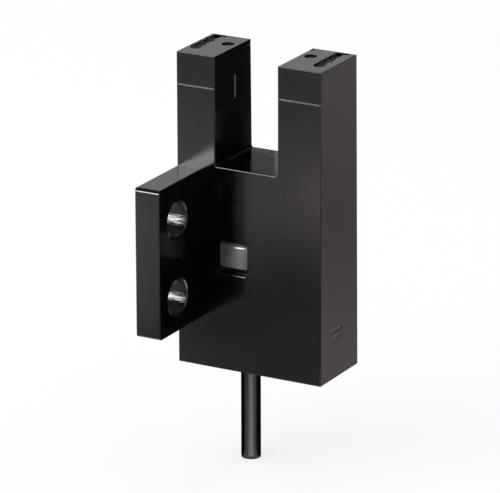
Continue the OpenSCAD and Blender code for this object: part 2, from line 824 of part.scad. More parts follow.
// Solder that holds a lead or a bare conductor on its pad
module solder_joints() {
  bead_z = core_end_z + (strip_len - bead_len) / 2 + core_run;
  pad_gap = board_front_y - pad_y;
  color("#aeb1b4") {
    for (core = CORES)
      translate([cable_left + core[2] * pad_pitch, pad_y, bead_z]) linear_extrude(bead_len)
        difference() {
          union() {
            circle(bead_r);
            translate([-bead_r, 0]) square([2 * bead_r, pad_gap]);
          }
          circle(d = conductor_d);
          translate([-over, pad_gap]) square(2 * over);
        }
    for (x = [emitter_lead_x, receiver_lead_x - lead_w, receiver_lead_x + lead_w])
      solder_cap(x, board_front_y, -1);
    for (x = [emitter_lead_x, receiver_lead_x])
      solder_cap(x, board_back_y, 1);
  }
}

case();
rear_cover();
indicator_window();
emitter_window();
receiver_window();
emitter_led();
emitter_leads();
receiver_ic();
receiver_leads();
circuit_board();
amplifier_ic();
output_transistor();
protection_diode();
resistors();
capacitors();
indicator_led();
cable_ferrule();
cable_jacket();
core(0);  // core_brown
core(1);  // core_pink
core(2);  // core_black
core(3);  // core_blue
conductors();
solder_joints();
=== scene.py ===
# Fork sensor: a U-slot photoelectric sensor with a side flange and a bottom cable.
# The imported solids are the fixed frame, in metres, and each section dresses one piece of it.
import math

import bmesh
import bpy
from mathutils import Matrix, Vector, noise


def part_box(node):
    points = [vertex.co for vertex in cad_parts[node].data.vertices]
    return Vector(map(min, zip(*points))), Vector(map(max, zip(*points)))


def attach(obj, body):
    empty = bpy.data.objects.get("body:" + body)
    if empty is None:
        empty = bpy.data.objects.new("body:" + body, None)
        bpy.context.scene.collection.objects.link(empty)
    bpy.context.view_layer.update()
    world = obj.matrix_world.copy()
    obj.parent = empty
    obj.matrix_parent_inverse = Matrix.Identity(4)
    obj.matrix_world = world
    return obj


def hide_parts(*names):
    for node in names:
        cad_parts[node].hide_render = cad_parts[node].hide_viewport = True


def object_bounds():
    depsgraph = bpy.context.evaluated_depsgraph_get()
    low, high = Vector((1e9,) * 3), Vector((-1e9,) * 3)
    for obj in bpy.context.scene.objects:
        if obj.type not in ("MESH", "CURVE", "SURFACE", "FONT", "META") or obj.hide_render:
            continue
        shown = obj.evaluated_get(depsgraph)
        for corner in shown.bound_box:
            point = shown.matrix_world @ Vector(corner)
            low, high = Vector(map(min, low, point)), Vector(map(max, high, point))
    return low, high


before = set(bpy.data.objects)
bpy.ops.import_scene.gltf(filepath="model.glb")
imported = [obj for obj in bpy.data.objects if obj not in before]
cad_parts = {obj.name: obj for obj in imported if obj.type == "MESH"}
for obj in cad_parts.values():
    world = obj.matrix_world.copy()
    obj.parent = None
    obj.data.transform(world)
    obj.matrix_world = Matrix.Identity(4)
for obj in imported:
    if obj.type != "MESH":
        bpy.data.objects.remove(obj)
cad_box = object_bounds()

# Case
# The housing is one injection moulding in black glass-filled PBT: the body, both prongs and the flange.
# The eroded mould leaves a satin grain, and thick sections sink a little, so reflections waver.
# The torn gates are dull, core pins leave drag lines in the holes, and the right side has a shallow knock.
MM = 0.001
patch_size = 2.5
# The real grain is finer; this is just coarse enough to show.
grain_size = 0.06
sink_size = 7
sink_deep = 0.02


def linear(hex_colour):
    """Linear RGBA of an sRGB hex colour."""
    channels = [int(hex_colour[i:i + 2], 16) / 255 for i in (1, 3, 5)]
    return [c / 12.92 if c <= 0.04045 else ((c + 0.055) / 1.055) ** 2.4 for c in channels] + [1.0]


def per_mm(size):
    """Texture scale that gives a pattern of this size in millimetres on Object coordinates."""
    return 1 / (size * MM)


def add_node(tree, kind, sockets=None, **settings):
    """Adds a node; each socket gets a value, or a link where it is given another node's output."""
    node = tree.nodes.new(kind)
    for name, value in settings.items():
        setattr(node, name, value)
    for key, value in (sockets or {}).items():
        if isinstance(value, bpy.types.NodeSocket):
            tree.links.new(value, node.inputs[key])
        else:
            node.inputs[key].default_value = value
    return node


def new_material(name, sockets):
    """Material with its constants on the shader's own sockets, and its tree, shader and coordinates."""
    material = bpy.data.materials.new(name)
    material.use_nodes = True
    tree = material.node_tree
    shader = tree.nodes["Principled BSDF"]
    for key, value in sockets.items():
        shader.inputs[key].default_value = value
    place = add_node(tree, "ShaderNodeTexCoord").outputs["Object"]
    return material, tree, shader, place


def set_stops(ramp, stops):
    """Gives a colour ramp these stops of (position, colour)."""
    elements = ramp.color_ramp.elements
    while len(elements) < len(stops):
        elements.new(1.0)
    for element, (position, colour) in zip(elements, stops):
        element.position = position
        element.color = colour


def distance_from(tree, place, middle, weights):
    """Distance from a middle in millimetres, each axis times its weight; a weight of 0 leaves it out."""
    offset = add_node(tree, "ShaderNodeVectorMath", {
        0: place, 1: [c * MM for c in middle]}, operation="SUBTRACT")
    weighted = add_node(tree, "ShaderNodeVectorMath", {
        0: offset.outputs["Vector"], 1: weights}, operation="MULTIPLY")
    length = add_node(tree, "ShaderNodeVectorMath", {0: weighted.outputs["Vector"]}, operation="LENGTH")
    return length.outputs["Value"]


def dress(name, material):
    """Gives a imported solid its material."""
    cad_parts[name].material_slots[0].material = material


def moulded_plastic(name, dark, light, rough_low, rough_high, grain_deep):
    """Black moulded plastic: deep colour, satin grain, patches of gloss and a slow sink over each face."""
    material, tree, shader, place = new_material(name, {"IOR": 1.5})
    patches = add_node(tree, "ShaderNodeTexNoise", {
        "Vector": place, "Scale": per_mm(patch_size), "Detail": 3.0})
    ramp = add_node(tree, "ShaderNodeValToRGB", {"Fac": patches.outputs["Fac"]})
    set_stops(ramp, [(0.35, linear(dark)), (0.7, linear(light))])
    tree.links.new(ramp.outputs["Color"], shader.inputs["Base Color"])
    gloss = add_node(tree, "ShaderNodeMapRange", {
        "Value": patches.outputs["Fac"], "From Min": 0.3, "From Max": 0.7,
        "To Min": rough_low, "To Max": rough_high})
    tree.links.new(gloss.outputs["Result"], shader.inputs["Roughness"])
    grain = add_node(tree, "ShaderNodeTexNoise", {
        "Vector": place, "Scale": per_mm(grain_size), "Detail": 1.0})
    fine = add_node(tree, "ShaderNodeBump", {
        "Height": grain.outputs["Fac"], "Strength": 1.0, "Distance": grain_deep * MM})
    sink = add_node(tree, "ShaderNodeTexNoise", {"Vector": place, "Scale": per_mm(sink_size), "Detail": 1.0})
    slow = add_node(tree, "ShaderNodeBump", {
        "Height": sink.outputs["Fac"], "Normal": fine.outputs["Normal"], "Strength": 1.0,
        "Distance": sink_deep * MM})
    tree.links.new(slow.outputs["Normal"], shader.inputs["Normal"])
    return material, tree, shader, place


gate_middle = (6.625, 8.05, 0)
gate_apart = 3.925
gate_r = 0.52
gate_fade = 0.06
gate_rough = 0.75
knock_middle = (13.7, 7.0, -7.05)
knock_half = (0.4, 1.2, 0.5)
knock_deep = 0.04
hole_rise = 3.4
hole_r = 1.6
hole_edge = 0.02
drag_fade = 0.04
# Real drag lines are finer; these are just coarse enough to show.
drag_wide = 0.1
drag_long = 20
drag_deep = 0.035
case_plastic, tree, shader, place = moulded_plastic(
    "black moulded PBT", "#030202", "#050404", 0.05, 0.08, 0.005)
gloss = shader.inputs["Roughness"].links[0].from_socket
grained = shader.inputs["Normal"].links[0].from_socket
beside_middle = add_node(tree, "ShaderNodeVectorMath", {
    0: place, 1: [c * MM for c in gate_middle]}, operation="SUBTRACT")
either_side = add_node(tree, "ShaderNodeVectorMath", {
    0: beside_middle.outputs["Vector"]}, operation="ABSOLUTE")
from_gate = distance_from(tree, either_side.outputs["Vector"], (gate_apart, 0, 0), (1, 1, 0))
torn = add_node(tree, "ShaderNodeMapRange", {
    "Value": from_gate, "From Min": gate_r * MM, "From Max": (gate_r + gate_fade) * MM,
    "To Min": gate_rough, "To Max": 0.0})
rough = add_node(tree, "ShaderNodeMath", {0: gloss, 1: torn.outputs["Result"]}, operation="MAXIMUM")
tree.links.new(rough.outputs[0], shader.inputs["Roughness"])
from_knock = distance_from(tree, place, knock_middle, [1 / (c * MM) for c in knock_half])
bowl = add_node(tree, "ShaderNodeMapRange", {"Value": from_knock}, interpolation_type="SMOOTHSTEP")
knock = add_node(tree, "ShaderNodeBump", {
    "Height": bowl.outputs["Result"], "Normal": grained, "Strength": 1.0, "Distance": knock_deep * MM})
above_or_below = add_node(tree, "ShaderNodeVectorMath", {0: place}, operation="ABSOLUTE")
from_hole = distance_from(tree, above_or_below.outputs["Vector"], (0, 0, hole_rise), (0, 1, 1))
in_hole = add_node(tree, "ShaderNodeMapRange", {
    "Value": from_hole, "From Min": (hole_r + hole_edge) * MM,
    "From Max": (hole_r + hole_edge + drag_fade) * MM, "To Min": 1.0, "To Max": 0.0})
drawn = add_node(tree, "ShaderNodeMapping", {"Vector": place, "Scale": (1 / drag_long, 1, 1)})
drag = add_node(tree, "ShaderNodeTexNoise", {
    "Vector": drawn.outputs["Vector"], "Scale": per_mm(drag_wide), "Detail": 1.0})
pulled = add_node(tree, "ShaderNodeBump", {
    "Height": drag.outputs["Fac"], "Normal": knock.outputs["Normal"],
    "Strength": in_hole.outputs["Result"], "Distance": drag_deep * MM})
tree.links.new(pulled.outputs["Normal"], shader.inputs["Normal"])
dress("case", case_plastic)

# Rear cover
# A second moulding closes the back; its tongues slide along grooves in the prong tops and are glued there.
# Its tool is polished less, so it is a little duller than the case.
cover_plastic = moulded_plastic("black moulded polycarbonate", "#050404", "#080707", 0.08, 0.14, 0.008)[0]
dress("rear_cover", cover_plastic)

# Glue
# The tongues are sealed with black epoxy, dabbed along both grooves from a needle; it dries in dull lumps.
# Most of it stays in the groove, and where a dab was too big a thin skin lies over the groove's edges.
bead_middles = (0.7, 12.35)
bead_start = 5.96
bead_end = 9.95
bead_foot = 16.4
bead_low = 0.08
bead_high = 0.2
bead_lump = 0.5
lump_skew = 0.4
tip_share = 0.125
tip_least = 0.02
groove_half = 0.395
groove_play = 0.005
climb_share = 0.2
spill_reach = 0.17
spill_gain = 2.2
spill_least = 0.02
top_z = 16.7
skin_t = 0.02
bead_rings = 80
bead_sides = 24
bead_sharp = 50
mottle_size = 0.25
mottle_deep = 0.05


def add_loft(solid, rings):
    """Adds a closed skin through rings of points in millimetres, with a face on both ends."""
    loops = []
    for ring in rings:
        loops.append([solid.verts.new([c * MM for c in point]) for point in ring])
    count = len(loops[0])
    for near, far in zip(loops, loops[1:]):
        for i in range(count):
            solid.faces.new((near[i], near[(i + 1) % count], far[(i + 1) % count], far[i]))
    solid.faces.new(loops[0])
    solid.faces.new(reversed(loops[-1]))


def closed_mesh(name, solid, sharp_angle):
    """Mesh of a finished solid, with its faces outwards and its edges sharp past this angle."""
    bmesh.ops.recalc_face_normals(solid, faces=solid.faces)
    mesh = bpy.data.meshes.new(name)
    solid.to_mesh(mesh)
    solid.free()
    mesh.set_sharp_from_angle(angle=math.radians(sharp_angle))
    return mesh


def add_object(name, mesh, material):
    """Object with this mesh and material, at the origin."""
    mesh.materials.append(material)
    for polygon in mesh.polygons:
        polygon.use_smooth = True
    piece = bpy.data.objects.new(name, mesh)
    bpy.context.scene.collection.objects.link(piece)
    return piece


beads = bmesh.new()
for middle in bead_middles:
    rings = []
    for step in range(bead_rings + 1):
        share = step / bead_rings
        y = bead_start + (bead_end - bead_start) * share
        taper = max(min(1, share / tip_share, (1 - share) / tip_share), tip_least) ** 0.5
        upper = []
        lower = []
        for side in range(bead_sides + 1):
            across = 1 - 2 * side / bead_sides
            dab = noise.noise(Vector((middle + lump_skew * across, y / bead_lump, 0)))
            spill = spill_reach * min(max(spill_gain * dab, 0), 1) * taper
            offset = across * (groove_half + spill)
            past_flat = abs(offset) - (1 - climb_share) * groove_half
            climb = min(max(past_flat / (climb_share * groove_half), 0), 1)
            fill = bead_foot + (bead_low + (bead_high - bead_low) * (0.5 + dab)) * taper
            edge = top_z + skin_t if spill > spill_least else fill
            foot = top_z if abs(offset) > groove_half + groove_play else bead_foot
            upper.append((middle + offset, y, fill + (edge - fill) * climb))
            lower.append((middle + offset, y, foot))
        rings.append(upper + lower[::-1])
    add_loft(beads, rings)
bead_mesh = closed_mesh("glue_beads", beads, bead_sharp)

epoxy, tree, shader, place = new_material("black epoxy glue", {"IOR": 1.5, "Specular IOR Level": 0.2})
mottle = add_node(tree, "ShaderNodeTexNoise", {"Vector": place, "Scale": per_mm(mottle_size), "Detail": 2.0})
ramp = add_node(tree, "ShaderNodeValToRGB", {"Fac": mottle.outputs["Fac"]})
set_stops(ramp, [(0.35, linear("#161515")), (0.65, linear("#343232"))])
tree.links.new(ramp.outputs["Color"], shader.inputs["Base Color"])
gloss = add_node(tree, "ShaderNodeMapRange", {"Value": mottle.outputs["Fac"], "To Min": 0.75, "To Max": 0.95})
tree.links.new(gloss.outputs["Result"], shader.inputs["Roughness"])
skin = add_node(tree, "ShaderNodeBump", {
    "Height": mottle.outputs["Fac"], "Strength": 1.0, "Distance": mottle_deep * MM})
tree.links.new(skin.outputs["Normal"], shader.inputs["Normal"])
glue_beads = add_object("glue_beads", bead_mesh, epoxy)
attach(glue_beads, "root")

# Light guide
# A block of smoke-grey polycarbonate, pushed in from behind until its collar stops on the front wall.
# Its nose is polished and slightly crowned, with a soft top edge.
# The shade that the flange throws on its left half is painted into its colour, dark to light across it.
low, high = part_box("indicator_window")
guide_x = (low.x + high.x) / 2 / MM
guide_z = (low.z + high.z) / 2 / MM
guide_front = low.y / MM
guide_back = high.y / MM
collar_lip = 0.35
collar_front = 4.85
collar_back = 5.35
guide_collar = ((high.x - low.x) / MM, (high.z - low.z) / MM)
guide_nose = (guide_collar[0] - 2 * collar_lip, guide_collar[1] - 2 * collar_lip)
guide_steps = (
    (guide_nose, collar_front), (guide_collar, collar_front), (guide_collar, collar_back),
    (guide_nose, collar_back), (guide_nose, guide_back))
guide_corner = 0.15
guide_sharp = 40
arc_steps = 6
side_steps = 10
crown_side = 0.09
crown_low = 0.03
crown_top = 0.55
crown_ease = 0.9
crown_shares = (1, 0.985, 0.96, 0.93, 0.89, 0.84, 0.78, 0.7, 0.6, 0.48, 0.34, 0.18)
# Painted shade: the greys run dark to light from left to right, lightest three quarters across, darker again
# at the right end.
painted_guide_greys = (
    (0.2, "#404040"), (0.31, "#3b3b3b"), (0.44, "#4e4e4e"), (0.55, "#686868"), (0.68, "#707070"),
    (0.8, "#5e5e5e"))
shade_start = 3.9
shade_end = 6.7
haze_size = 1.2
haze_share = 0.2


def corner_ring(size, corner):
    """Points round a rectangle with rounded corners, about its centre, with more along each side."""
    arcs = []
    for turn, (side_x, side_z) in enumerate(((1, 1), (-1, 1), (-1, -1), (1, -1))):
        middle = Vector((side_x * (size[0] / 2 - corner), side_z * (size[1] / 2 - corner)))
        angles = [math.radians(90 * (turn + step / arc_steps)) for step in range(arc_steps + 1)]
        arcs.append([middle + corner * Vector((math.cos(angle), math.sin(angle))) for angle in angles])
    ring = []
    for arc, following in zip(arcs, arcs[1:] + arcs[:1]):
        ring += arc
        ring += [arc[-1].lerp(following[0], step / side_steps) for step in range(1, side_steps)]
    return ring


def crown(x, z):
    """How far the nose's face falls back at this distance from its centre."""
    fall = crown_side * (2 * x / guide_nose[0]) ** 2 + crown_low * min(2 * z / guide_nose[1], 0) ** 2
    over = z - (guide_nose[1] / 2 - crown_top)
    if over > 0:
        fall += crown_top - math.sqrt(max(crown_top ** 2 - crown_ease * over ** 2, 0))
    return fall


rings = []
for share in reversed(crown_shares):
    ring = [(x * share, z * share) for x, z in corner_ring(guide_nose, guide_corner)]
    rings.append([(guide_x + x, guide_front + crown(x, z), guide_z + z) for x, z in ring])
for size, y in guide_steps:
    rings.append([(guide_x + x, y, guide_z + z) for x, z in corner_ring(size, guide_corner)])
block = bmesh.new()
add_loft(block, rings)
guide_mesh = closed_mesh("light_guide", block, guide_sharp)

smoke, tree, shader, place = new_material("smoke polycarbonate", {"IOR": 1.58, "Roughness": 0.16})
haze = add_node(tree, "ShaderNodeTexNoise", {"Vector": place, "Scale": per_mm(haze_size), "Detail": 2.0})
across = add_node(tree, "ShaderNodeSeparateXYZ", {0: place})
shade = add_node(tree, "ShaderNodeMapRange", {
    "Value": across.outputs["X"], "From Min": shade_start * MM, "From Max": shade_end * MM,
    "To Min": 0.0, "To Max": 1 - haze_share})
# Random haze plus the painted shade that runs across the guide from left to right.
haze_and_shade = add_node(tree, "ShaderNodeMath", {
    0: haze.outputs["Fac"], 1: haze_share, 2: shade.outputs["Result"]}, operation="MULTIPLY_ADD")
ramp = add_node(tree, "ShaderNodeValToRGB", {"Fac": haze_and_shade.outputs[0]})
set_stops(ramp, [(position, linear(grey)) for position, grey in painted_guide_greys])
tree.links.new(ramp.outputs["Color"], shader.inputs["Base Color"])
light_guide = add_object("light_guide", guide_mesh, smoke)
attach(light_guide, "root")
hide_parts("indicator_window")

# Filter windows
# Two plates of dark red acrylic pass the infrared beam and keep dust out; a land on each stands in its slit.
# They are glued in from inside and polished, so the slit shows as a thin greyish-pink line.
streak_size = 0.6
filter_acrylic, tree, shader, place = new_material("dark red filter acrylic", {
    "IOR": 1.49, "Roughness": 0.12})
streaks = add_node(tree, "ShaderNodeTexNoise", {"Vector": place, "Scale": per_mm(streak_size), "Detail": 2.0})
ramp = add_node(tree, "ShaderNodeValToRGB", {"Fac": streaks.outputs["Fac"]})
set_stops(ramp, [(0, linear("#6c6062")), (1, linear("#84787b"))])
tree.links.new(ramp.outputs["Color"], shader.inputs["Base Color"])
dress("emitter_window", filter_acrylic)
dress("receiver_window", filter_acrylic)

# Emitter and receiver
# The infrared LED is cast in clear epoxy with a blue-grey cast, and the photo IC in epoxy dyed almost black.
# Both are side-looking packages with a lens towards the slot, standing on flat leads.
cloud_size = 0.9
cast_uneven = 0.01


def cast_epoxy(name, dark, light, rough):
    """Cast epoxy: slow clouds of colour, and a surface that is a little uneven from the mould."""
    material, tree, shader, place = new_material(name, {"IOR": 1.54, "Roughness": rough})
    clouds = add_node(tree, "ShaderNodeTexNoise", {
        "Vector": place, "Scale": per_mm(cloud_size), "Detail": 3.0})
    ramp = add_node(tree, "ShaderNodeValToRGB", {"Fac": clouds.outputs["Fac"]})
    set_stops(ramp, [(0.3, linear(dark)), (0.7, linear(light))])
    tree.links.new(ramp.outputs["Color"], shader.inputs["Base Color"])
    uneven = add_node(tree, "ShaderNodeBump", {
        "Height": clouds.outputs["Fac"], "Strength": 1.0, "Distance": cast_uneven * MM})
    tree.links.new(uneven.outputs["Normal"], shader.inputs["Normal"])
    return material


dress("emitter_led", cast_epoxy("clear epoxy", "#8f9aa6", "#aab3bc", 0.08))
dress("receiver_ic", cast_epoxy("dark epoxy", "#17131a", "#221c24", 0.1))

# Leads and solder
# The flat leads are stamped from copper alloy and tinned; leads and cores are soldered to pads by hand.
# Tin is dull and mottled, and the solder is brighter and smoother.


def bare_metal(name, dark, light, rough_low, rough_high, grain):
    """Tin, solder, brass or copper: metal with fine uneven gloss."""
    material, tree, shader, place = new_material(name, {"Metallic": 1.0})
    speckle = add_node(tree, "ShaderNodeTexNoise", {"Vector": place, "Scale": per_mm(grain), "Detail": 4.0})
    ramp = add_node(tree, "ShaderNodeValToRGB", {"Fac": speckle.outputs["Fac"]})
    set_stops(ramp, [(0, linear(dark)), (1, linear(light))])
    tree.links.new(ramp.outputs["Color"], shader.inputs["Base Color"])
    gloss = add_node(tree, "ShaderNodeMapRange", {
        "Value": speckle.outputs["Fac"], "To Min": rough_low, "To Max": rough_high})
    tree.links.new(gloss.outputs["Result"], shader.inputs["Roughness"])
    return material


lead_metal = bare_metal("tinned copper alloy", "#a2a5a8", "#c9ccd0", 0.25, 0.45, 0.2)
dress("emitter_leads", lead_metal)
dress("receiver_leads", lead_metal)
dress("solder_joints", bare_metal("solder", "#b4b7ba", "#dadde0", 0.12, 0.3, 0.35))

# Circuit board
# Glass-epoxy laminate with green solder mask, held on two pegs of the case.
# The weave shows faintly through the mask, as a fine grid of slightly lighter lines.
weave_pitch = 0.5
weave_deep = 0.01
laminate, tree, shader, place = new_material("FR-4 laminate with green mask", {"IOR": 1.52})
weave = add_node(tree, "ShaderNodeTexBrick", {
    "Vector": place, "Scale": per_mm(2 * weave_pitch), "Brick Width": 0.5, "Row Height": 0.5,
    "Color1": linear("#174a2c"), "Color2": linear("#1b5331"), "Mortar": linear("#2a6b41"),
    "Mortar Size": 0.04})
tree.links.new(weave.outputs["Color"], shader.inputs["Base Color"])
gloss = add_node(tree, "ShaderNodeMapRange", {"Value": weave.outputs["Fac"], "To Min": 0.3, "To Max": 0.42})
tree.links.new(gloss.outputs["Result"], shader.inputs["Roughness"])
relief = add_node(tree, "ShaderNodeBump", {
    "Height": weave.outputs["Fac"], "Strength": 1.0, "Distance": weave_deep * MM})
tree.links.new(relief.outputs["Normal"], shader.inputs["Normal"])
dress("circuit_board", laminate)

# Circuit parts
# Three black epoxy packages with tinned feet left and right, and a row of chip resistors and capacitors.
# The chips are ceramic with tinned end caps, soldered flat on the front of the board.
tin_colour = "#c3c6c9"
tin_rough = 0.3
body_grain = 0.15
chip_half = 0.5


def tin_ended(name, dark, light, axis, centre, half, rough):
    """Moulded or ceramic body whose ends, past half a length from the centre along an axis, are tinned."""
    material, tree, shader, place = new_material(name, {"IOR": 1.5})
    coordinate = add_node(tree, "ShaderNodeSeparateXYZ", {0: place})
    offset = add_node(tree, "ShaderNodeMath", {
        0: coordinate.outputs[axis], 1: centre * MM}, operation="SUBTRACT")
    distance = add_node(tree, "ShaderNodeMath", {0: offset.outputs[0]}, operation="ABSOLUTE")
    ends = add_node(tree, "ShaderNodeMath", {0: distance.outputs[0], 1: half * MM}, operation="GREATER_THAN")
    fine = add_node(tree, "ShaderNodeTexNoise", {"Vector": place, "Scale": per_mm(body_grain), "Detail": 3.0})
    ramp = add_node(tree, "ShaderNodeValToRGB", {"Fac": fine.outputs["Fac"]})
    set_stops(ramp, [(0, linear(dark)), (1, linear(light))])
    colour = add_node(tree, "ShaderNodeMix", {
        "Factor": ends.outputs[0], "A": ramp.outputs["Color"], "B": linear(tin_colour)}, data_type="RGBA")
    tree.links.new(colour.outputs["Result"], shader.inputs["Base Color"])
    tree.links.new(ends.outputs[0], shader.inputs["Metallic"])
    gloss = add_node(tree, "ShaderNodeMapRange", {
        "Value": ends.outputs[0], "To Min": rough, "To Max": tin_rough})
    tree.links.new(gloss.outputs["Result"], shader.inputs["Roughness"])
    return material


for name, half_width in (("amplifier_ic", 1.5), ("output_transistor", 0.65), ("protection_diode", 0.6)):
    low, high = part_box(name)
    centre_x = (low.x + high.x) / 2 / MM
    dress(name, tin_ended("package epoxy, " + name, "#161618", "#232326", "X", centre_x, half_width, 0.55))
for name, dark, light in (("resistors", "#1b1b1e", "#26262a"), ("capacitors", "#7d5f43", "#8f6f50")):
    low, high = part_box(name)
    centre_z = (low.z + high.z) / 2 / MM
    dress(name, tin_ended("ceramic, " + name, dark, light, "Z", centre_z, chip_half, 0.4))

# Indicator lamp
# A chip LED behind the light guide: a block of milky, faintly orange resin cast on a small carrier.
# It is soldered to the board, and its light leaves through the guide.
dress("indicator_led", cast_epoxy("LED resin", "#d9c9b2", "#e6d8c4", 0.3))

# Cable
# Round four-core cable, 1.7 mm, in black PVC; the sheath is extruded, so its gloss is streaked lengthwise.
# A brass ring crimped on it inside the case takes the pull, and the cores fan out to their pads.
pvc_stretch = 0.06
pvc_wave = 0.004


def soft_pvc(name, dark, light, rough_low, rough_high, streak):
    """Extruded PVC: streaks along the cable, soft gloss and a slightly wavy skin."""
    material, tree, shader, place = new_material(name, {"IOR": 1.52})
    along = add_node(tree, "ShaderNodeMapping", {"Vector": place, "Scale": (1, 1, pvc_stretch)})
    streaks = add_node(tree, "ShaderNodeTexNoise", {
        "Vector": along.outputs["Vector"], "Scale": per_mm(streak), "Detail": 3.0})
    ramp = add_node(tree, "ShaderNodeValToRGB", {"Fac": streaks.outputs["Fac"]})
    set_stops(ramp, [(0.3, linear(dark)), (0.7, linear(light))])
    tree.links.new(ramp.outputs["Color"], shader.inputs["Base Color"])
    gloss = add_node(tree, "ShaderNodeMapRange", {
        "Value": streaks.outputs["Fac"], "To Min": rough_low, "To Max": rough_high})
    tree.links.new(gloss.outputs["Result"], shader.inputs["Roughness"])
    skin = add_node(tree, "ShaderNodeBump", {
        "Height": streaks.outputs["Fac"], "Strength": 1.0, "Distance": pvc_wave * MM})
    tree.links.new(skin.outputs["Normal"], shader.inputs["Normal"])
    return material


dress("cable_jacket", soft_pvc("black PVC", "#040404", "#070707", 0.22, 0.3, 0.25))
for name, dark, light in (
        ("core_brown", "#4a2a18", "#5a351f"), ("core_pink", "#d98fa0", "#e3a0ae"),
        ("core_black", "#121212", "#1c1c1c"), ("core_blue", "#1d4f9c", "#275dae")):
    dress(name, soft_pvc("PVC insulation, " + name, dark, light, 0.35, 0.5, 0.12))
dress("cable_ferrule", bare_metal("brass", "#a88442", "#c7a45c", 0.28, 0.42, 0.3))

# Conductors
# Each core holds seven fine copper strands, one in the middle and six laid round it with a slow twist.
# They end flush at the cable's cut, and reach bare to the pads on the board.
cable_axis = (5.3, 7.15)
core_spread = 0.25
core_pads = ((-1, -1, -1.5), (-1, 1, -0.5), (1, 1, 0.5), (1, -1, 1.5))
pad_pitch = 1.1
pad_y = 7.04
cut_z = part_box("conductors")[0].z / MM
fan_low = -8.35
fan_high = -6.25
strip_end = -4.5
fan_steps = 24
strand_d = 0.0733
strand_sides = 10
strands_round = 6
lay_length = 4.0
lay_step = 0.1

routes = bpy.data.meshes.new("strand_routes")
points = []
edges = []
for side_x, side_y, pad in core_pads:
    start = Vector((cable_axis[0] + side_x * core_spread, cable_axis[1] + side_y * core_spread))
    end = Vector((cable_axis[0] + pad * pad_pitch, pad_y))
    jog = (end - start).length
    rise = fan_high - fan_low
    bend_r = (rise ** 2 + jog ** 2) / (4 * jog)
    first = len(points)
    points.append((start.x, start.y, cut_z))
    for step in range(fan_steps + 1):
        climb = rise * step / fan_steps
        if climb <= rise / 2:
            aside = bend_r - math.sqrt(bend_r ** 2 - climb ** 2)
        else:
            aside = jog - bend_r + math.sqrt(bend_r ** 2 - (rise - climb) ** 2)
        spot = start + (end - start) * (aside / jog)
        points.append((spot.x, spot.y, fan_low + climb))
    points.append((end.x, end.y, strip_end))
    edges += [(i, i + 1) for i in range(first, len(points) - 1)]
routes.from_pydata([[c * MM for c in point] for point in points], edges, [])
strands = bpy.data.objects.new("conductor_strands", routes)
bpy.context.scene.collection.objects.link(strands)

copper = bare_metal("drawn copper", "#a85b32", "#cf8355", 0.22, 0.36, 0.1)
tree = bpy.data.node_groups.new("strands along routes", "GeometryNodeTree")
tree.is_modifier = True
tree.interface.new_socket("Geometry", in_out="OUTPUT", socket_type="NodeSocketGeometry")
tree.interface.new_socket("Routes", in_out="INPUT", socket_type="NodeSocketGeometry")
inputs = {}
for name in ("Strand radius", "Lay length", "Step"):
    inputs[name] = tree.interface.new_socket(name, in_out="INPUT", socket_type="NodeSocketFloat").identifier
group_in = add_node(tree, "NodeGroupInput")
curve = add_node(tree, "GeometryNodeMeshToCurve", {"Mesh": group_in.outputs["Routes"]})
fine_curve = add_node(tree, "GeometryNodeResampleCurve", {
    "Curve": curve.outputs["Curve"], "Length": group_in.outputs["Step"]}, mode="LENGTH")
along = add_node(tree, "GeometryNodeSplineParameter")
turns = add_node(tree, "ShaderNodeMath", {
    0: along.outputs["Length"], 1: group_in.outputs["Lay length"]}, operation="DIVIDE")
tilt = add_node(tree, "ShaderNodeMath", {0: turns.outputs[0], 1: math.tau}, operation="MULTIPLY")
twisted = add_node(tree, "GeometryNodeSetCurveTilt", {
    "Curve": fine_curve.outputs["Curve"], "Tilt": tilt.outputs[0]})
lay_radius = add_node(tree, "ShaderNodeMath", {
    0: group_in.outputs["Strand radius"], 1: 2.0}, operation="MULTIPLY")
outer = add_node(tree, "GeometryNodeMeshCircle", {"Vertices": strands_round, "Radius": lay_radius.outputs[0]})
middle = add_node(tree, "GeometryNodeMeshLine", {"Count": 1})
lay = add_node(tree, "GeometryNodeJoinGeometry")
tree.links.new(outer.outputs["Mesh"], lay.inputs[0])
tree.links.new(middle.outputs["Mesh"], lay.inputs[0])
wire = add_node(tree, "GeometryNodeCurvePrimitiveCircle", {
    "Resolution": strand_sides, "Radius": group_in.outputs["Strand radius"]})
laid = add_node(tree, "GeometryNodeInstanceOnPoints", {
    "Points": lay.outputs["Geometry"], "Instance": wire.outputs["Curve"]})
profile = add_node(tree, "GeometryNodeRealizeInstances", {0: laid.outputs["Instances"]})
swept = add_node(tree, "GeometryNodeCurveToMesh", {
    "Curve": twisted.outputs["Curve"], "Profile Curve": profile.outputs[0], "Fill Caps": True})
realized = add_node(tree, "GeometryNodeRealizeInstances", {0: swept.outputs["Mesh"]})
painted = add_node(tree, "GeometryNodeSetMaterial", {"Geometry": realized.outputs[0], "Material": copper})
add_node(tree, "NodeGroupOutput", {0: painted.outputs["Geometry"]})
modifier = strands.modifiers.new("strands", "NODES")
modifier.node_group = tree
modifier[inputs["Strand radius"]] = strand_d / 2 * MM
modifier[inputs["Lay length"]] = lay_length * MM
modifier[inputs["Step"]] = lay_step * MM
mesh = bpy.data.meshes.new_from_object(strands.evaluated_get(bpy.context.evaluated_depsgraph_get()))
strands.modifiers.clear()
strands.data = mesh
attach(strands, "root")
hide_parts("conductors")

# Studio
# A pale table that keeps the soft shadow, white all round, and one broad lamp high at the front left.
# Grey, black and bright cards round the object are seen only by its shiny faces, as in a product shot.
scene = bpy.context.scene
scene.view_settings.view_transform = "Standard"
white = linear("#ffffff")
black = linear("#000000")
floor_z = cad_box[0].z
fill_level = 0.9
table_r = 1500
table_sides = 96
table_glow = 0.7


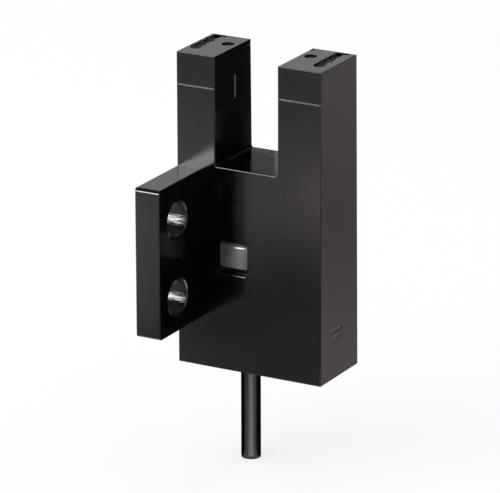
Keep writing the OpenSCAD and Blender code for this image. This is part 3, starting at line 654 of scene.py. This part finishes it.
def seen_rays(tree):
    """1 for rays that show the surroundings: from the camera, in a reflection or through a clear part."""
    path = add_node(tree, "ShaderNodeLightPath")
    shiny = add_node(tree, "ShaderNodeMath", {
        0: path.outputs["Is Camera Ray"], 1: path.outputs["Is Glossy Ray"]}, operation="MAXIMUM")
    seen = add_node(tree, "ShaderNodeMath", {
        0: shiny.outputs[0], 1: path.outputs["Is Transmission Ray"]}, operation="MAXIMUM")
    return seen.outputs[0]


world = bpy.data.worlds.new("studio")
scene.world = world
world.use_nodes = True
tree = world.node_tree
strength = add_node(tree, "ShaderNodeMapRange", {
    "Value": seen_rays(tree), "To Min": fill_level, "To Max": 1.0})
background = tree.nodes["Background"]
background.inputs["Color"].default_value = white
tree.links.new(strength.outputs["Result"], background.inputs["Strength"])

mesh = bpy.data.meshes.new("table")
disc = bmesh.new()
bmesh.ops.create_circle(disc, cap_ends=True, segments=table_sides, radius=table_r * MM)
disc.to_mesh(mesh)
disc.free()
mesh.transform(Matrix.Translation((0, 0, floor_z)))
paper, tree, shader, place = new_material("white table paper", {
    "Base Color": linear("#f7f7f6"), "Roughness": 0.9})
glow = add_node(tree, "ShaderNodeEmission", {"Strength": 1.0})
share = add_node(tree, "ShaderNodeMath", {0: seen_rays(tree), 1: table_glow}, operation="MULTIPLY")
mix = add_node(tree, "ShaderNodeMixShader", {
    0: share.outputs[0], 1: shader.outputs["BSDF"], 2: glow.outputs["Emission"]})
tree.links.new(mix.outputs["Shader"], tree.nodes["Material Output"].inputs["Surface"])
table = add_object("table", mesh, paper)

slant = (1, -0.554, 0)
upright = (0, 0, 1)
on_table = floor_z / MM + 0.1
over_card = on_table + 0.05
rosy = linear("#fff1f5")


def card(name, corners, level, stops=None, along=(0, 1, 0), side_stops=None, tint=white):
    """Card that only reflections see; stops of (millimetres, share) vary its light along one axis or two."""
    material, tree, shader, place = new_material("painted card", {
        "Base Color": black, "Roughness": 1.0, "Specular IOR Level": 0.0, "Emission Color": white})
    light = None
    for direction, shares, colour in ((along, stops, tint), (slant, side_stops, white)):
        if not shares:
            continue
        peak = max(value for at, value in shares)
        level *= peak
        low = shares[0][0]
        high = shares[-1][0]
        reach = add_node(tree, "ShaderNodeVectorMath", {0: place, 1: direction}, operation="DOT_PRODUCT")
        share = add_node(tree, "ShaderNodeMapRange", {
            "Value": reach.outputs["Value"], "From Min": low * MM, "From Max": high * MM})
        ramp = add_node(tree, "ShaderNodeValToRGB", {"Fac": share.outputs["Result"]})
        ramp.color_ramp.interpolation = "B_SPLINE"
        positions = [(at - low) / (high - low) for at, value in shares]
        shades = [[value / peak * c for c in colour[:3]] + [1] for at, value in shares]
        set_stops(ramp, list(zip(positions, shades)))
        if light:
            light = add_node(tree, "ShaderNodeVectorMath", {
                0: light, 1: ramp.outputs["Color"]}, operation="MULTIPLY").outputs["Vector"]
        else:
            light = ramp.outputs["Color"]
    if light:
        tree.links.new(light, shader.inputs["Emission Color"])
    shader.inputs["Emission Strength"].default_value = level
    mesh = bpy.data.meshes.new(name)
    mesh.from_pydata([[c * MM for c in corner] for corner in corners], [], [range(len(corners))])
    piece = add_object(name, mesh, material)
    piece.visible_camera = False
    piece.visible_diffuse = False
    piece.visible_shadow = False
    piece.visible_transmission = False


def standing(left, right, y, bottom, top):
    """Corners of an upright card that faces the front."""
    return [(left, y, bottom), (right, y, bottom), (right, y, top), (left, y, top)]


def lying(plan, z):
    """Corners of a level card, from its corners in plan."""
    return [(x, y, z) for x, y in plan]


# The slot's own walls stay dark: these three keep the white room out of what they mirror.
card("black_card_in_slot", standing(3.7, 9.5, 10.6, 9.8, 17), 0.025)
card("black_card_past_slot", standing(4.9, 9.3, 13.2, 5.5, 10.7), 0.02)
card("grey_card_behind_slot", standing(-3, 4, 14, 8, 14), 0.23)
card("dark_card_at_back", standing(-2, 48, 60, 4, 58), 0.1)
card("sky_card", standing(-150, -20, 150, 30, 120), 0.7)
card("dark_card_overhead", lying([(-200, -130), (150, -130), (150, 60), (-200, 60)], 90), 0.2)
card("near_card", lying([(-40, -8), (60, -8), (60, -36), (-40, -36)], on_table), 0.42,
     [(-36, 1.0), (-8, 1.0)], side_stops=[(-4, 1.6), (0, 1.3), (4, 1.0), (14, 1.0)], tint=rosy)
card("front_card", lying([(-16, -36), (60, -36), (60, -110), (-57, -110)], on_table), 1.7,
     [(-110, 0.34), (-88, 0.33), (-79, 0.34), (-72, 0.85), (-65, 1.5), (-60, 1.2), (-54, 0.35), (-49, 0.12),
      (-36, 0.24)],
     side_stops=[(1, 0.0), (4.5, 0.0), (7, 0.4), (9, 1.0), (11.5, 1.1)], tint=rosy)
card("left_front_card", lying([(-14.5, -33.5), (-56.5, -110), (-120, -110), (-120, -33.5)], on_table), 1.0,
     [(-110, 0.3), (-95, 0.33), (-86, 0.6), (-79, 1.3), (-72, 1.65), (-64, 1.15), (-50, 1.12), (-34, 1.14)],
     side_stops=[(-60, 1.0), (0, 1.0), (2.5, 0.95), (4.3, 0.6)])
card("black_card_at_right", lying([(6, -14), (20, -14), (56, -78), (56, -120), (6, -120)], over_card), 0.1)
card("dark_card_before_flange", lying([
    (-17, -25), (-11.1, -25.5), (-13.1, -35), (-18.6, -45), (-19.9, -45), (-13.2, -33), (-21.3, -33)],
    over_card), 0.1)
card("back_card", lying([(16, 8), (110, 8), (110, 140), (16, 140)], on_table), 0.65,
     [(8, 0.5), (24, 0.95), (32, 0.95), (43, 0.86), (69, 0.6), (92, 0.8), (140, 0.9)], tint=rosy)
card("strip_lamp", standing(-100, -35, -125, -15, 75), 30.0,
     [(-15, 0.0), (5, 0.03), (15, 0.15), (26, 1.0), (42, 1.0), (56, 0.6), (75, 0.0)], along=upright)

# A bright sector on the table before the cable, and a black ring round the rest of it.
front_bearing = -61
sector_half = 24
sector_step = 8
sector_near = 0.95
sector_far = 28
ring_start = 56
ring_end = 296
ring_step = 16
ring_near = 0.9
ring_far = 5
ring_top = -11.6


def cable_point(radius, turn, z):
    """Point this far from the cable's axis, turned from the front bearing."""
    angle = math.radians(front_bearing + turn)
    return (cable_axis[0] + radius * math.cos(angle), cable_axis[1] + radius * math.sin(angle), z)


turns = range(-sector_half, sector_half + 1, sector_step)
sector = [cable_point(sector_far, turn, on_table + 0.1) for turn in turns]
sector += [cable_point(sector_near, turn, on_table + 0.1) for turn in reversed(turns)]
card("bright_card_before_cable", sector, 3.2)
for turn in range(ring_start, ring_end, ring_step):
    card("black_card_round_cable", [
        cable_point(ring_far, turn, on_table), cable_point(ring_far, turn + ring_step, on_table),
        cable_point(ring_far, turn + ring_step, ring_top), cable_point(ring_far, turn, ring_top)], 0.0)
    card("black_card_at_cable_foot", [
        cable_point(ring_near, turn, on_table), cable_point(ring_near, turn + ring_step, on_table),
        cable_point(ring_far, turn + ring_step, on_table), cable_point(ring_far, turn, on_table)], 0.0)

lamp_place = Vector((-160, -220, 320)) * MM
lamp_aim = Vector((6, 3, 0)) * MM
lamp_size = 300 * MM
lamp_level = 2.0
lamp_data = bpy.data.lights.new("window lamp", "AREA")
lamp_data.shape = "SQUARE"
lamp_data.size = lamp_size
lamp_data.energy = lamp_level * math.pi * lamp_size ** 2
lamp = bpy.data.objects.new("window lamp", lamp_data)
scene.collection.objects.link(lamp)
lamp.location = lamp_place
lamp.rotation_euler = (lamp_aim - lamp_place).to_track_quat("-Z", "Y").to_euler()
lamp.visible_camera = False

# Camera
# It stands at the photograph's viewing angle: a long lens from the right, a little above.
# Its place and angles were fitted to the corners of the part.
camera_place = (185.905, -318.628, 123.990)
camera_yaw = 29.01
camera_pitch = 18.48
camera_roll = -0.18
camera_lens = 335
sensor_width = 36
nearest = 10
camera_data = bpy.data.cameras.new("camera")
camera_data.sensor_fit = "HORIZONTAL"
camera_data.sensor_width = sensor_width
camera_data.lens = camera_lens
camera_data.clip_start = nearest * MM
camera = bpy.data.objects.new("camera", camera_data)
camera.matrix_world = (
    Matrix.Translation(Vector(camera_place) * MM)
    @ Matrix.Rotation(math.radians(camera_yaw), 4, "Z")
    @ Matrix.Rotation(math.radians(90 - camera_pitch), 4, "X")
    @ Matrix.Rotation(math.radians(camera_roll), 4, "Z")
)
scene.collection.objects.link(camera)
scene.camera = camera
